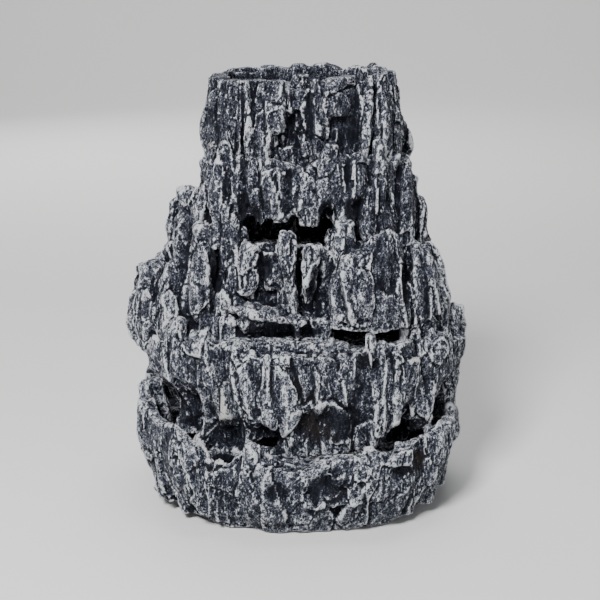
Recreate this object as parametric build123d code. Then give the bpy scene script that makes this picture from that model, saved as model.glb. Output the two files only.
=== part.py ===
"""Tiered rock cascade ornament in cast resin, with its circulation pump.

Five resin castings are glued one on another: a basin with a reservoir under
a shelf, three hollow rock tiers with a catch pool along the front of each,
and a hollow summit with a bowl.  A submersible pump in the reservoir lifts
water through a riser hose to the bowl, and it spills from pool to pool.

Millimetres.  +X is to the viewer's right, -Y is the front, +Z is up.  The
origin is the centre of the bounding box on the surface it stands on.
"""
import os
from math import cos, pi, sin

from build123d import *

# ---- driving dimensions of the rockwork ----
HEIGHT = 300.0            # floor to the highest shard
WALL = 6.0                # resin wall and floor thickness
SHELF_TOP = 50.0          # shelf of the basin, which carries the rock
RESERVOIR_FLOOR = 7.0
CASTING_BASE = 1.0        # the foot pads hold the resin this far off the table
LOWER_TOP = 118.0         # top of each tier's slab, where the next one sits
MIDDLE_TOP = 184.0
UPPER_TOP = 240.0
BOWL_FLOOR = 284.0
RIM_CUT = 40.0            # how far the pool cutters reach above a rim

# Outlines of each casting: height, then the reach to the left, to the
# right, to the front and to the back.
BASIN_RINGS = [
    (CASTING_BASE, 82, 84, 79, 80),
    (12, 97, 98, 85, 86),
    (30, 106, 106, 90, 90),
    (SHELF_TOP, 112, 111, 90.5, 90.5),
    (58, 111, 110, 89, 90),
]
LOWER_RINGS = [
    (SHELF_TOP, 80, 80, 68, 80),
    (75, 89, 90, 70, 81),
    (100, 104, 111, 70, 81),
    (LOWER_TOP, 109, 112, 70, 80),
    (127, 107, 109, 69, 79),
]
MIDDLE_RINGS = [
    (LOWER_TOP, 106, 104, 55, 78),
    (142, 109, 98, 56, 77),
    (149, 109, 96, 47, 76),
    (163, 105, 93, 46, 75),
    (168, 92, 91, 46, 74),
    (190, 88, 87, 46, 71),
]
UPPER_RINGS = [
    (MIDDLE_TOP, 85, 86, 38, 70),
    (204, 83, 81, 42, 67),
    (210, 80, 79, 45, 66),
    (214, 69, 77, 46, 65),
    (220, 67, 75, 47, 63),
    (245, 64, 71, 46, 59),
]
SUMMIT_RINGS = [
    (UPPER_TOP, 63, 67, 34, 56),
    (265, 61, 64, 35, 54),
    (294, 56, 59, 33, 50),
]

# ---- openings in the rock ----
SPIKE_X = -8.0            # tall spike in front of the main cave
SPIKE_TIP = 200.0
CAVE_X0 = -38.0           # main cave
CAVE_X1 = 21.0
CAVE_BACK = -8.0
CAVE_Z1 = 217.0
SLOT_X0 = 20.0            # low cave under the right-hand overhang
SLOT_X1 = 66.0
SLOT_BACK = -20.0
SLOT_Z0 = 122.0
SLOT_Z1 = 136.0
DRAIN_X = -51.5           # round hole from the trough to the reservoir
DRAIN_Y = -70.3
DRAIN_R = 6.5
BAY_R = 11.0              # bay of the reservoir under the drain hole
BAY_BACK = 4.5            # the bay stands this far behind the hole
BAY_FLOOR = 20.0

# ---- how rough the outlines are ----
SIDES = 40                # facets round each casting
HOLLOW_SIDES = 24         # facets round each smooth hollow
SQUARENESS = 2.6          # 2 is an ellipse, more is squarer
FLUTE = 1.3               # depth of the upright flutes
JAG = 3.0                 # how much a broken rim rises and falls

# ---- circulation pump ----
AXIS_Z = 29.0             # height of the rotor's axis
RISER_Y = 16.5            # the riser stands this far behind the centre
CASE_W = 36.0
CASE_H = 36.0
CASE_BACK = -36.0         # motor end of the pump
VOLUTE_Y = 10.0           # where the motor case ends and the volute begins
VOLUTE_END = 26.0
CASE_WALL = 2.0
WELL_R = 6.6              # bore that the rotor turns in
WELL_END = -18.0
MAGNET_R = 6.0
SHAFT_R = 1.0
SHAFT_FIT = 0.05          # running clearance of rotor on shaft
SEAT_FIT = 0.02           # shaft in its bushes
IMPELLER_R = 8.5
IMPELLER_VANES = 6
COVER_DEPTH = 12.0        # strainer in front of the volute
COVER_GAP = 0.3
DIAL_R = 9.0
HOSE_R = 6.5
HOSE_BORE = 4.6
NOZZLE_R = 4.55
SPOUT_BORE = 3.2
FOOT_H = 4.0

SPOUT_R = 10.0
PAD_R = 8.0
PAD_H = 3.0
PAD_PLACES = [(-62, -46), (62, -46), (-62, 50), (62, 50)]
CLIP_R = 7.6

# ---- cable outlet in the rear wall ----
GROMMET_X = -48.0
GROMMET_Z = 74.0
GROMMET_R = 5.0
GROMMET_BORE = 2.75
GROMMET_FACE = 72.5

# ---- rear hatch ----
HATCH_W = 72.0
HATCH_LOW = 60.0
HATCH_HIGH = 104.0
HATCH_FIT = 0.6           # gap round the hatch
FINGER_R = 9.0


# ------------------------------------------------------------------ geometry
def facet(*corners):
    """One flat face through its corners."""
    return Face(Wire.make_polygon(corners, close=True))


def cap(ring):
    """Close the end of a skin: one face where it is level, else a fan."""
    heights = [point[2] for point in ring]
    if max(heights) - min(heights) < 0.001:
        return [facet(*ring)]
    count = len(ring)
    hub = tuple(sum(point[axis] for point in ring) / count for axis in range(3))
    return [facet(ring[i], ring[(i + 1) % count], hub) for i in range(count)]


def skin(rings, planar=False):
    """Closed solid whose facets join each ring of points to the next."""
    count = len(rings[0])
    faces = cap(rings[0]) + cap(rings[-1])
    for low, high in zip(rings, rings[1:]):
        for i in range(count):
            j = (i + 1) % count
            if planar:
                faces.append(facet(low[i], low[j], high[j], high[i]))
            else:
                faces.append(facet(low[i], low[j], high[j]))
                faces.append(facet(low[i], high[j], high[i]))
    return Solid(Shell(faces))


def outline(z, left, right, front, back, flute=0.0, jag=0.0, phase=0.0, rise=(0, 0), sides=SIDES):
    """Squarish oval at height z, with flutes, a jagged edge and raised ends."""
    power = 2 / SQUARENESS
    points = []
    for step in range(sides):
        turn = 2 * pi * step / sides
        along = abs(cos(turn)) ** power
        across = abs(sin(turn)) ** power
        groove = 1 + flute * sin(11 * turn + phase) / 60 + flute * sin(17 * turn - phase) / 90
        x = (right if cos(turn) > 0 else -left) * along * groove
        y = (back if sin(turn) > 0 else -front) * across * groove
        jump = jag * sin(13 * turn + 2 * phase) + jag * sin(7 * turn + phase) / 2
        lift = (rise[1] if cos(turn) > 0 else rise[0]) * cos(turn) ** 2
        points.append((x, y, z + jump + lift))
    return points


def rock(rings, phase, jag=JAG, rise=(0, 0)):
    """Fluted outside of a casting, with a broken upper edge."""
    levels = []
    for number, ring in enumerate(rings[:-1]):
        levels.append(outline(*ring, flute=FLUTE, phase=phase + 0.35 * number))
    levels.append(outline(*rings[-1], flute=FLUTE, jag=jag, phase=phase, rise=rise))
    return skin(levels)


def hollow(low, high, *reach):
    """Smooth upright space that reaches so far left, right, front and back."""
    return skin([outline(z, *reach, sides=HOLLOW_SIDES) for z in (low, high)], planar=True)


def block(x0, x1, y0, y1, z0, z1):
    """Box between two corners."""
    middle = Pos((x0 + x1) / 2, (y0 + y1) / 2, (z0 + z1) / 2)
    return middle * Box(x1 - x0, y1 - y0, z1 - z0)


def rod(x, y, z0, z1, radius):
    """Upright cylinder."""
    return Pos(x, y, (z0 + z1) / 2) * Cylinder(radius, z1 - z0)


def axle(y0, y1, radius, x=0.0, z=AXIS_Z):
    """Cylinder along Y, by default on the rotor's axis."""
    return Pos(x, (y0 + y1) / 2, z) * Rot(90, 0, 0) * Cylinder(radius, y1 - y0)


def shard(x, y, foot, tip, width, depth, lean_x=0.0, lean_y=0.0):
    """Pointed five-sided slab of rock that narrows and leans to its tip."""
    corners = [(-0.5, 0.1), (-0.2, -0.5), (0.32, -0.42), (0.5, 0.15), (0.0, 0.5)]
    levels = []
    for part, size in ((0.0, 1.0), (0.6, 0.84), (0.9, 0.5), (1.0, 0.16)):
        z = foot + (tip - foot) * part
        ring = [(x + lean_x * part + a * width * size,
                 y + lean_y * part + b * depth * size, z) for a, b in corners]
        levels.append(ring)
    return skin(levels, planar=True)


def with_shards(casting, shards):
    """Fuse a list of shards to a casting."""
    for place in shards:
        casting = casting + shard(*place)
    return casting


# ------------------------------------------------------------------ rockwork
# A form is a casting's outside before it is hollowed.  Each casting is cut
# back by the form of the one above, so that the two meet face to face.
def basin_form():
    """Outside of the basin, with higher rims at its ends."""
    flank = [(-96, -20, 10, 84, 18, 34, -9, 0), (-90, -42, 8, 73, 20, 24, -8, -4),
             (-72, -58, 6, 67, 22, 18, -6, -8), (-96, 20, 12, 86, 17, 34, -8, 0),
             (95, -18, 10, 74, 18, 32, 8, -2), (84, -46, 8, 69, 20, 22, 9, -6),
             (66, -60, 6, 64, 22, 17, 5, -9), (95, 24, 12, 72, 17, 34, 8, 0),
             (-50, -68, 6, 64, 24, 18, -2, -9), (-28, -74, 10, 67, 12, 14, 0, -10),
             (12, -74, 8, 62, 26, 15, 2, -10), (42, -71, 6, 63, 24, 15, 3, -9)]
    return with_shards(rock(BASIN_RINGS, 0.4, rise=(20, 9)), flank)


def lower_form():
    """Outside of the lowest tier: a tall wall of upright slabs."""
    slabs = [(-62, -53, 54, 128, 20, 14, -4, -6), (-34, -65, 52, 131, 16, 12, 3, -1),
             (-12, -66, 56, 129, 13, 12, 4, -1), (26, -65, 60, 128, 17, 12, -2, -1),
             (52, -60, 56, 127, 20, 14, 4, -3), (-80, -44, 60, 137, 20, 22, -8, 0),
             (82, -42, 60, 133, 20, 22, 6, 0), (101, -10, 62, 139, 14, 30, 6, 0)]
    return with_shards(rock(LOWER_RINGS, 1.1), slabs)


def middle_form():
    """Outside of the second tier: ledge, tall spike and right overhang."""
    columns = [(SPIKE_X, -50, 146, SPIKE_TIP, 16, 12, 0, 1), (-44, -46, 148, 193, 15, 11),
               (-66, -44, 124, 196, 18, 16, 3, 0), (-88, -34, 122, 176, 20, 24, 2, 0),
               (-106, -6, 124, 170, 13, 30, 2, 0), (12, -46, 148, 194, 12, 10),
               (96, -14, 122, 173, 15, 28, -2, 0), (86, -32, 122, 186, 18, 20, -3, 0)]
    overhang = skin([
        [(18, -40, 136), (22, -60, 138), (48, -65, 136), (70, -56, 137), (74, -38, 136)],
        [(17, -40, 158), (21, -59, 160), (46, -63, 162), (68, -55, 160), (74, -38, 158)],
        [(24, -40, 192), (28, -50, 190), (46, -54, 196), (64, -49, 190), (68, -38, 188)],
    ])
    return with_shards(rock(MIDDLE_RINGS, 2.3), columns) + overhang


def upper_form():
    """Outside of the third tier, with broken columns up its flanks."""
    columns = [(-52, -40, 188, 252, 18, 14, 2, 0), (-30, -45, 218, 249, 20, 12),
               (28, -44, 218, 250, 22, 12), (50, -40, 190, 256, 14, 13, 1, 0),
               (68, -26, 188, 240, 16, 20, 2, 0), (-78, -20, 188, 210, 16, 26, 2, 0),
               (-66, -26, 190, 226, 14, 20, 3, 0), (80, -6, 188, 214, 12, 26, 1, 0)]
    return with_shards(rock(UPPER_RINGS, 3.2), columns)


def summit_form():
    """Outside of the summit, with crags round its rim."""
    crags = [(-50, -20, 242, 299, 16, 20, 1, 0), (-32, -29, 244, 296, 14, 11, 1, 0),
             (34, -29, 244, 297, 22, 12, -1, 0), (54, -18, 242, HEIGHT, 14, 22, 0, 0),
             (50, 34, 244, 299, 16, 22), (-46, 34, 244, 297, 18, 20), (0, 46, 244, 298, 30, 12)]
    return with_shards(rock(SUMMIT_RINGS, 4.6, jag=2.2), crags)


def riser_hole(top):
    """Hole for the riser hose through a slab."""
    return rod(0, RISER_Y, top - WALL - 1, top + 1, HOSE_R + 0.8)


def cave(x0, x1, back, z0, z1):
    """Blind cave in the front of a casting."""
    return block(x0, x1, -80, back, z0, z1)


def basin_casting():
    """Basin: outer wall, reservoir, and the shelf that carries the rock."""
    body = basin_form()
    body = body - hollow(SHELF_TOP, SHELF_TOP + 2 * RIM_CUT, 104, 103, 83, 84)
    body = body - lower_form()
    body = body - hollow(RESERVOIR_FLOOR, SHELF_TOP - WALL, 84, 84, 70, 74)
    body = body - block(-54, 54, -42, 62, RESERVOIR_FLOOR + 1, SHELF_TOP + 1)
    body = body - rod(DRAIN_X, DRAIN_Y, SHELF_TOP - WALL - 1, SHELF_TOP + 1, DRAIN_R)
    body = body - rod(DRAIN_X, DRAIN_Y + BAY_BACK, BAY_FLOOR, SHELF_TOP - WALL, BAY_R)
    for x, y in PAD_PLACES:
        body = body - rod(x, y, 0, PAD_H, PAD_R)
    return body


def lower_rock():
    """Lowest tier: a hollow wall with a catch pool, over the pump."""
    body = lower_form()
    body = body - hollow(LOWER_TOP, LOWER_TOP + RIM_CUT, 98, 99, 64, 74)
    body = body - block(-130, 130, -34, 100, LOWER_TOP, LOWER_TOP + RIM_CUT)
    body = body - middle_form()
    body = body - hollow(SHELF_TOP - 1, LOWER_TOP - WALL, 72, 72, 60, 72)
    body = body - block(-34, -16, -80, -55, 54, 62)
    body = body - rod(DRAIN_X, DRAIN_Y, SHELF_TOP - 1, LOWER_TOP + RIM_CUT, DRAIN_R + 2)
    body = body - riser_hole(LOWER_TOP)
    body = body - axle(50, 90, GROMMET_R, x=GROMMET_X, z=GROMMET_Z)
    body = body - axle(GROMMET_FACE, 90, GROMMET_R + 3, x=GROMMET_X, z=GROMMET_Z)
    return body - block(-HATCH_W / 2, HATCH_W / 2, 50, 100, HATCH_LOW, HATCH_HIGH)


def middle_rock():
    """Second tier: hollow, with a low cave and a pool at the main cave."""
    body = middle_form()
    body = body - hollow(MIDDLE_TOP, MIDDLE_TOP + RIM_CUT, 82, 81, 40, 64)
    body = body - block(-130, 130, -26, 100, MIDDLE_TOP, MIDDLE_TOP + RIM_CUT)
    body = body - upper_form()
    body = body - hollow(LOWER_TOP - 1, MIDDLE_TOP - WALL, 84, 82, 40, 66)
    body = body + block(SLOT_X0 - 4, SLOT_X1 + 4, -48, SLOT_BACK + 4, LOWER_TOP, SLOT_Z1 + 4)
    body = body - cave(SLOT_X0, SLOT_X1, SLOT_BACK, SLOT_Z0, SLOT_Z1)
    return body - riser_hole(MIDDLE_TOP)


def upper_rock():
    """Third tier: the main cave under a brow hung with points of rock."""
    body = upper_form()
    body = body - hollow(UPPER_TOP, UPPER_TOP + RIM_CUT, 58, 64, 42, 53)
    body = body - block(-130, 130, -20, 100, UPPER_TOP, UPPER_TOP + RIM_CUT)
    body = body - summit_form()
    body = body - hollow(MIDDLE_TOP - 1, UPPER_TOP - WALL, 60, 62, 34, 52)
    body = body + block(CAVE_X0 - 4, CAVE_X1 + 4, -30, CAVE_BACK + 4, MIDDLE_TOP, CAVE_Z1 + 4)
    body = body - cave(CAVE_X0, CAVE_X1, CAVE_BACK, MIDDLE_TOP + 2, CAVE_Z1)
    drips = [(-32, -43, 222, 205, 11, 8), (-14, -44, 222, 209, 9, 7), (8, -44, 222, 203, 10, 8)]
    return with_shards(body, drips) - riser_hole(UPPER_TOP)


def summit_rock():
    """Hollow summit with a bowl, and a notch where the water spills."""
    body = summit_form()
    body = body - hollow(BOWL_FLOOR, BOWL_FLOOR + RIM_CUT, 49, 52, 27, 43)
    body = body - cave(-19, 9, -20, 288, BOWL_FLOOR + RIM_CUT)
    body = body - cave(-16, 2, -31, 252, 276)
    body = body - hollow(UPPER_TOP - 1, BOWL_FLOOR - WALL, 52, 55, 26, 45)
    return body - rod(0, RISER_Y, BOWL_FLOOR - WALL - 1, BOWL_FLOOR + 1, NOZZLE_R + 0.1)


def rear_hatch():
    """Plug-in rock panel over the pump, with a finger hole to pull it by."""
    half = HATCH_W / 2 - HATCH_FIT
    low = HATCH_LOW + HATCH_FIT
    high = HATCH_HIGH - HATCH_FIT
    rings = []
    for y, grow in ((67, -4), (75, 0), (80, 0), (84, -7)):
        rings.append([(-half - grow, y, low - grow), (half + grow, y, low - grow),
                      (half + grow, y, high + grow), (-half - grow, y, high + grow)])
    panel = skin(rings)
    return panel - axle(60, 90, FINGER_R, z=(low + high) / 2)


def foot_pads():
    """Four rubber pads let into the underside of the basin."""
    return Compound([rod(x, y, 0, PAD_H, PAD_R) for x, y in PAD_PLACES])


def cable_grommet():
    """Rubber bush that lines the cable outlet, with a flange outside."""
    body = axle(60, GROMMET_FACE, GROMMET_R, x=GROMMET_X, z=GROMMET_Z)
    body = body + axle(GROMMET_FACE, GROMMET_FACE + 2, GROMMET_R + 2, x=GROMMET_X, z=GROMMET_Z)
    return body - axle(50, 90, GROMMET_BORE, x=GROMMET_X, z=GROMMET_Z)


# ---------------------------------------------------------------------- pump
CASE_LOW = AXIS_Z - CASE_H / 2
CASE_HIGH = AXIS_Z + CASE_H / 2
CHAMBER_R = IMPELLER_R + 2
RING_Z = CASE_HIGH - 4    # height of the outlet's O-ring
RING_R = 0.7
GROOVE_R = 3.8
YOKE_Y = -28.0            # centre of the stator's yoke
GLAND_Z = 41.0
GLAND_R = 4.0


def pump_housing():
    """Motor case, the rotor's well, the pumping chamber and outlet port."""
    case = block(-CASE_W / 2, CASE_W / 2, CASE_BACK, VOLUTE_END - 3, CASE_LOW, CASE_HIGH)
    case = fillet(case.edges().filter_by(Axis.Y), 5)
    inside = CASE_W / 2 - CASE_WALL
    room = block(-inside, inside, CASE_BACK, VOLUTE_Y - CASE_WALL,
                 CASE_LOW + CASE_WALL, CASE_HIGH - CASE_WALL)
    case = case - fillet(room.edges().filter_by(Axis.Y), 3)
    case = case + axle(WELL_END - 1.4, VOLUTE_Y, WELL_R + 1.4)
    case = case - axle(WELL_END, VOLUTE_Y + 1, WELL_R)
    case = case - axle(VOLUTE_Y, VOLUTE_END, CHAMBER_R)
    return case - rod(0, RISER_Y, AXIS_Z + 6, CASE_HIGH + 1, NOZZLE_R + 0.75)


def motor_seal():
    """Potting resin poured over the back of the motor, round the gland."""
    inside = CASE_W / 2 - CASE_WALL
    seal = block(-inside, inside, CASE_BACK, CASE_BACK + 0.9,
                 CASE_LOW + CASE_WALL, CASE_HIGH - CASE_WALL)
    seal = fillet(seal.edges().filter_by(Axis.Y), 3)
    return seal - axle(CASE_BACK - 1, CASE_BACK + 2, GLAND_R - 1, z=GLAND_Z)


def cable_gland():
    """Rubber gland where a supply cable enters the motor."""
    body = axle(CASE_BACK, CASE_BACK + 0.9, GLAND_R - 1, z=GLAND_Z)
    body = body + axle(CASE_BACK - 6, CASE_BACK, GLAND_R, z=GLAND_Z)
    return body - axle(CASE_BACK - 7, CASE_BACK + 2, GROMMET_BORE - 0.5, z=GLAND_Z)


def stator_core():
    """U-shaped stack of laminations, with one leg each side of the well."""
    yoke = block(-14.6, 14.6, YOKE_Y - 3, YOKE_Y + 3, AXIS_Z - 5, AXIS_Z + 5)
    left = block(-14.6, -8.6, YOKE_Y - 3, 5, AXIS_Z - 5, AXIS_Z + 5)
    right = block(8.6, 14.6, YOKE_Y - 3, 5, AXIS_Z - 5, AXIS_Z + 5)
    return yoke + left + right


def coil_bobbin():
    """Moulded former round the yoke, with a flange at each end."""
    body = block(-7.4, 7.4, YOKE_Y - 4, YOKE_Y + 4, AXIS_Z - 6, AXIS_Z + 6)
    for x in (-7.4, 6.4):
        body = body + block(x, x + 1, YOKE_Y - 7, YOKE_Y + 7, AXIS_Z - 9.5, AXIS_Z + 9.5)
    return body - block(-8, 8, YOKE_Y - 3, YOKE_Y + 3, AXIS_Z - 5, AXIS_Z + 5)


def coil_winding():
    """Copper winding between the bobbin's flanges."""
    body = block(-6.4, 6.4, YOKE_Y - 6.6, YOKE_Y + 6.6, AXIS_Z - 9, AXIS_Z + 9)
    return body - block(-7, 7, YOKE_Y - 4, YOKE_Y + 4, AXIS_Z - 6, AXIS_Z + 6)


def shaft_bush(y0, y1):
    """Small round bush that holds one end of the rotor's shaft."""
    return axle(y0, y1, 2.4) - axle(y0 - 1, y1 + 1, SHAFT_R + SEAT_FIT)


def rotor_shaft():
    """Fixed ceramic shaft that the rotor turns on."""
    return axle(WELL_END, VOLUTE_END - 0.5, SHAFT_R)


def rotor_magnet():
    """Round two-pole magnet that turns in the well."""
    return axle(-16.4, 9, MAGNET_R) - axle(-20, 20, SHAFT_R + SHAFT_FIT)


def impeller():
    """Straight-vaned impeller fixed to the end of the magnet."""
    body = axle(9, 22, 2.8) + axle(VOLUTE_Y + 0.6, VOLUTE_Y + 2, IMPELLER_R)
    for vane in range(IMPELLER_VANES):
        blade = block(2, IMPELLER_R, VOLUTE_Y + 1, 21, -0.6, 0.6)
        body = body + Pos(0, 0, AXIS_Z) * Rot(0, 360 * vane / IMPELLER_VANES, 0) * blade
    return body - axle(0, 30, SHAFT_R + SHAFT_FIT)


def impeller_cover():
    """Plate that closes the chamber: an inlet ring, spokes and a bush seat."""
    body = axle(VOLUTE_END - 3, VOLUTE_END - 0.5, CHAMBER_R + 4)
    body = body - axle(0, 40, 6.5)
    body = body + axle(VOLUTE_END - 3, VOLUTE_END - 0.5, 3.6)
    for spoke in range(3):
        arm = block(3, 7, VOLUTE_END - 3, VOLUTE_END - 0.5, -0.9, 0.9)
        body = body + Pos(0, 0, AXIS_Z) * Rot(0, 120 * spoke + 30, 0) * arm
    return body - axle(0, 40, 2.4)


def dial_ports(face):
    """Three inlet holes through the strainer's face and the dial on it."""
    ports = []
    for turn in range(3):
        port = Pos(5.8, 0, 0) * Rot(90, 0, 0) * Cylinder(1.9, 8)
        ports.append(Pos(0, face, AXIS_Z) * Rot(0, 120 * turn, 0) * port)
    return Compound(ports)


def strainer_cover():
    """Slotted cap over the pump's inlet, which pulls off for cleaning."""
    start = VOLUTE_END - 3 - 3
    end = VOLUTE_END - 0.2 + COVER_DEPTH
    wall = COVER_GAP + 1.6
    outer = block(-CASE_W / 2 - wall, CASE_W / 2 + wall, start, end, CASE_LOW - wall, CASE_HIGH + wall)
    outer = fillet(outer.edges().filter_by(Axis.Y), 5 + wall)
    inner = block(-CASE_W / 2 - COVER_GAP, CASE_W / 2 + COVER_GAP, start, end - 2,
                  CASE_LOW - COVER_GAP, CASE_HIGH + COVER_GAP)
    body = outer - fillet(inner.edges().filter_by(Axis.Y), 5 + COVER_GAP)
    for x in (-15, -10, -5, 0, 5, 10, 15):
        for z in (CASE_LOW + 2, CASE_HIGH - 8):
            body = body - block(x - 1, x + 1, end - 3, end + 1, z, z + 6)
    body = body - axle(end - 3, end + 1, 2.5 + SHAFT_FIT)
    body = body - block(-8, 8, start - 1, RISER_Y + 8, CASE_HIGH - 1, CASE_HIGH + 4)
    return body - dial_ports(end)


def flow_dial():
    """Turning disc on the strainer that opens or covers the inlet port."""
    face = VOLUTE_END - 0.2 + COVER_DEPTH
    body = axle(face - 1.9, face + COVER_GAP, 2.5)
    body = body + axle(face + COVER_GAP, face + 2, DIAL_R)
    body = body + block(-1.4, 1.4, face + 1.9, face + 5, AXIS_Z - DIAL_R, AXIS_Z + DIAL_R)
    return body - dial_ports(face)


def outlet_nozzle():
    """Push-in outlet: a spigot in the port, a collar and a hose barb."""
    body = rod(0, RISER_Y, CASE_HIGH - 9, CASE_HIGH, NOZZLE_R + 0.7)
    body = body + rod(0, RISER_Y, CASE_HIGH, CASE_HIGH + 2.5, NOZZLE_R + 2.5)
    body = body + rod(0, RISER_Y, CASE_HIGH + 2, CASE_HIGH + 18, NOZZLE_R)
    groove = rod(0, RISER_Y, RING_Z - 0.9, RING_Z + 0.9, NOZZLE_R + 2)
    body = body - (groove - rod(0, RISER_Y, RING_Z - 2, RING_Z + 2, GROOVE_R))
    return body - rod(0, RISER_Y, 0, 100, SPOUT_BORE)


def nozzle_o_ring():
    """O-ring that seals the outlet's spigot in the port."""
    return Pos(0, RISER_Y, RING_Z) * Torus(GROOVE_R + RING_R + 0.02, RING_R)


def riser_hose():
    """Soft hose from the pump's outlet up to the spout in the bowl."""
    low = CASE_HIGH + 3
    high = BOWL_FLOOR - WALL - 2
    return rod(0, RISER_Y, low, high, HOSE_R) - rod(0, RISER_Y, low - 1, high + 1, HOSE_BORE)


def hose_clip():
    """Spring clip round the foot of the hose, with two finger tabs."""
    low = CASE_HIGH + 8
    ring = rod(0, RISER_Y, low, low + 5, CLIP_R)
    for y in (RISER_Y - 3, RISER_Y + 1.6):
        ring = ring + block(5, 13, y, y + 1.4, low, low + 5)
    return ring - rod(0, RISER_Y, low - 1, low + 6, HOSE_R)


def top_spout():
    """Flanged spout in the bowl's floor, with a barb down into the hose."""
    body = rod(0, RISER_Y, BOWL_FLOOR, BOWL_FLOOR + 2, SPOUT_R)
    body = body + rod(0, RISER_Y, BOWL_FLOOR - WALL - 16, BOWL_FLOOR + 1, NOZZLE_R)
    body = body + rod(0, RISER_Y, BOWL_FLOOR + 1, BOWL_FLOOR + 6, NOZZLE_R)
    return body - rod(0, RISER_Y, 200, 300, SPOUT_BORE)


def suction_feet():
    """Four suction cups that hold the pump to the reservoir's floor."""
    cups = []
    for x in (-12, 12):
        for y in (-28, 12):
            cup = Pos(x, y, RESERVOIR_FLOOR + 1.2) * Cone(5.5, 2.4, 2.4)
            cups.append(cup + rod(x, y, RESERVOIR_FLOOR + 2, CASE_LOW, 2.4))
    return Compound(cups)


NODES = {
    "basin_casting": basin_casting,
    "lower_rock": lower_rock,
    "middle_rock": middle_rock,
    "upper_rock": upper_rock,
    "summit_rock": summit_rock,
    "rear_hatch": rear_hatch,
    "foot_pads": foot_pads,
    "cable_grommet": cable_grommet,
    "pump_housing": pump_housing,
    "motor_seal": motor_seal,
    "cable_gland": cable_gland,
    "stator_core": stator_core,
    "coil_bobbin": coil_bobbin,
    "coil_winding": coil_winding,
    "rear_shaft_bush": lambda: shaft_bush(WELL_END, WELL_END + 1.2),
    "front_shaft_bush": lambda: shaft_bush(VOLUTE_END - 3, VOLUTE_END - 0.5),
    "rotor_shaft": rotor_shaft,
    "rotor_magnet": rotor_magnet,
    "impeller": impeller,
    "impeller_cover": impeller_cover,
    "strainer_cover": strainer_cover,
    "flow_dial": flow_dial,
    "outlet_nozzle": outlet_nozzle,
    "nozzle_o_ring": nozzle_o_ring,
    "riser_hose": riser_hose,
    "hose_clip": hose_clip,
    "top_spout": top_spout,
    "suction_feet": suction_feet,
}

os.makedirs("parts", exist_ok=True)
for node, make in NODES.items():
    export_step(make(), "parts/" + node + ".step")
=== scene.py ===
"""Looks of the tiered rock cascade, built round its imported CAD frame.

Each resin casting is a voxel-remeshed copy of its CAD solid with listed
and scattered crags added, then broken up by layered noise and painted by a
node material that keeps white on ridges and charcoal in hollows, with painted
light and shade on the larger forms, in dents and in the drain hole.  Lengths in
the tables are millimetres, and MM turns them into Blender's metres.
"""

import math
import random

import bmesh
import bpy
import numpy as np
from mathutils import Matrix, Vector
from mathutils.bvhtree import BVHTree


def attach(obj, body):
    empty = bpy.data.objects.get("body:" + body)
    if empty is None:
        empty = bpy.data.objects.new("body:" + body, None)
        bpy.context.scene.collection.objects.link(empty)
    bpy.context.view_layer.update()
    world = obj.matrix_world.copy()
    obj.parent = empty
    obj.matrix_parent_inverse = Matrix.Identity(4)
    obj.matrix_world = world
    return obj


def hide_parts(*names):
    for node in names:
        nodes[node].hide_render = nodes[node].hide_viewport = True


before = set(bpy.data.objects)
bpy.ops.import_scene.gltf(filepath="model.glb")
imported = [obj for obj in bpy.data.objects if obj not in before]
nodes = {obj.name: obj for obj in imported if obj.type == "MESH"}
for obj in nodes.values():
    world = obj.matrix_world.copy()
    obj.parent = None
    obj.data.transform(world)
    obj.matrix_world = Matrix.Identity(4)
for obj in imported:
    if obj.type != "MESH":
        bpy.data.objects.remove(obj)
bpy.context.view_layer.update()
MM = 0.001                            # one millimetre in metres
COARSER = 0.0


# ------------------------------------------------------------------ numpy noise
def hashed(cell, seed):
    """Repeatable value from 0 to 1 for each integer cell."""
    mixed = (cell[:, 0] * 73856093) ^ (cell[:, 1] * 19349663) ^ (cell[:, 2] * 83492791)
    mixed = (mixed ^ (seed * 2654435761)) & 0xFFFFFFFF
    mixed = ((mixed >> 15) ^ mixed) * 2246822519 & 0xFFFFFFFF
    mixed = ((mixed >> 13) ^ mixed) * 3266489917 & 0xFFFFFFFF
    return ((mixed >> 16) ^ mixed) / 4294967296.0


def noise(points, seed):
    """Smooth value noise from -1 to 1, with features one unit apart."""
    cell = np.floor(points).astype(np.int64)
    part = points - cell
    part = part * part * (3 - 2 * part)
    total = np.zeros(len(points))
    for corner in range(8):
        step = np.array([corner & 1, corner >> 1 & 1, corner >> 2 & 1])
        weight = np.prod(np.where(step, part, 1 - part), axis=1)
        total += weight * hashed(cell + step, seed)
    return total * 2 - 1


def layered(points, seed, layers=3):
    """Several octaves of noise."""
    total = np.zeros(len(points))
    size = 1.0
    for layer in range(layers):
        total += size * noise(points * 2 ** layer, seed + layer)
        size *= 0.5
    return total


def cells(points, seed):
    """Gap between the nearest two scattered points, and the nearest one's own tilted level."""
    base = np.floor(points).astype(np.int64)
    near = np.full(len(points), 9.0)
    second = np.full(len(points), 9.0)
    level = np.zeros(len(points))
    for i in (-1, 0, 1):
        for j in (-1, 0, 1):
            for k in (-1, 0, 1):
                cell = base + np.array([i, j, k])
                spot = cell + np.stack([hashed(cell, seed + n) for n in range(3)], axis=1)
                gap = np.linalg.norm(points - spot, axis=1)
                closer = gap < near
                second = np.where(closer, near, np.minimum(second, gap))
                lean = np.stack([hashed(cell, seed + n) - 0.5 for n in (11, 12, 13)], axis=1)
                tilted = hashed(cell, seed + 7) - 0.5 + 1.1 * np.sum((points - spot) * lean, axis=1)
                level = np.where(closer, tilted, level)
                near = np.where(closer, gap, near)
    return second - near, level


def ramp(value, low, high):
    """Smooth step from 0 at low to 1 at high."""
    part = np.clip((value - low) / (high - low), 0, 1)
    return part * part * (3 - 2 * part)


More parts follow.
